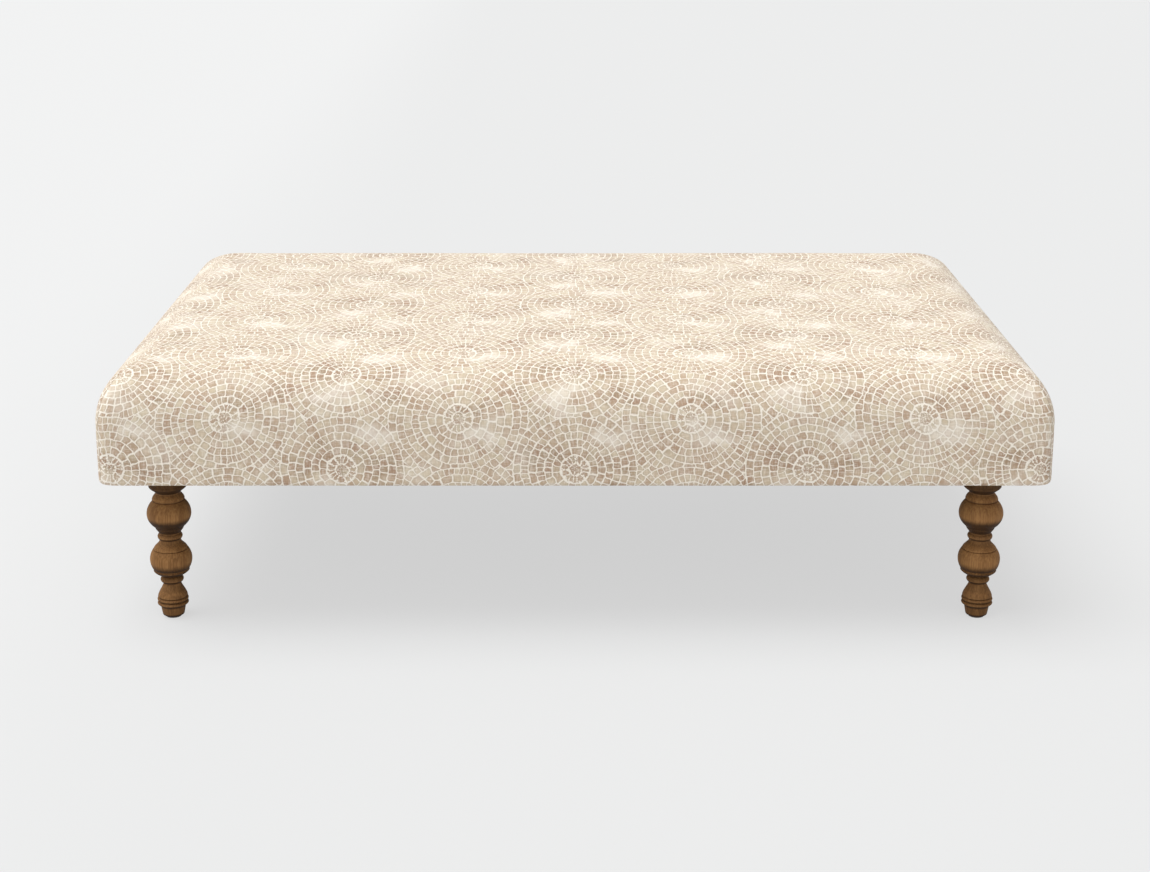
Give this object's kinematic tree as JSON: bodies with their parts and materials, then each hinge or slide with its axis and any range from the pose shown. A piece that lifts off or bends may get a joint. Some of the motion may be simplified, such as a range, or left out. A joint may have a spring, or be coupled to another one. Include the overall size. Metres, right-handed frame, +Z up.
{
  "type": "ottoman coffee table",
  "caption": "Low padded ottoman coffee table: a long upholstered slab with a deeply rounded top edge in a pebble-mosaic print, standing on turned wooden legs.",
  "frame": {"origin": "on the floor, under the middle of the table", "axes": "+X along the table to its right as seen from the front, +Y from the front to the back, +Z up"},
  "size_m": [1.32, 0.808, 0.399],
  "materials": {
    "printed_fabric": "matte",
    "batting": "matte",
    "foam": "matte",
    "dust_cloth": "matte",
    "deck_board": "matte",
    "frame_timber": "matte",
    "leg_wood": "satin",
    "glide_plastic": "matte",
    "zinc_steel": "satin"
  },
  "bodies": {
    "root": {"fabric_cover": "printed_fabric", "batting_layer": "batting", "foam_core": "foam", "dust_cover": "dust_cloth", "deck_panel": "deck_board", "front_rail": "frame_timber", "back_rail": "frame_timber", "left_rail": "frame_timber", "right_rail": "frame_timber", "left_brace": "frame_timber", "centre_brace": "frame_timber", "right_brace": "frame_timber", "leg_block_front_left": "frame_timber", "leg_block_front_right": "frame_timber", "leg_block_back_left": "frame_timber", "leg_block_back_right": "frame_timber", "turned_legs": "leg_wood", "foot_glides": "glide_plastic", "hanger_bolts": "zinc_steel", "tee_nuts": "zinc_steel"}
  },
  "joints": []
}
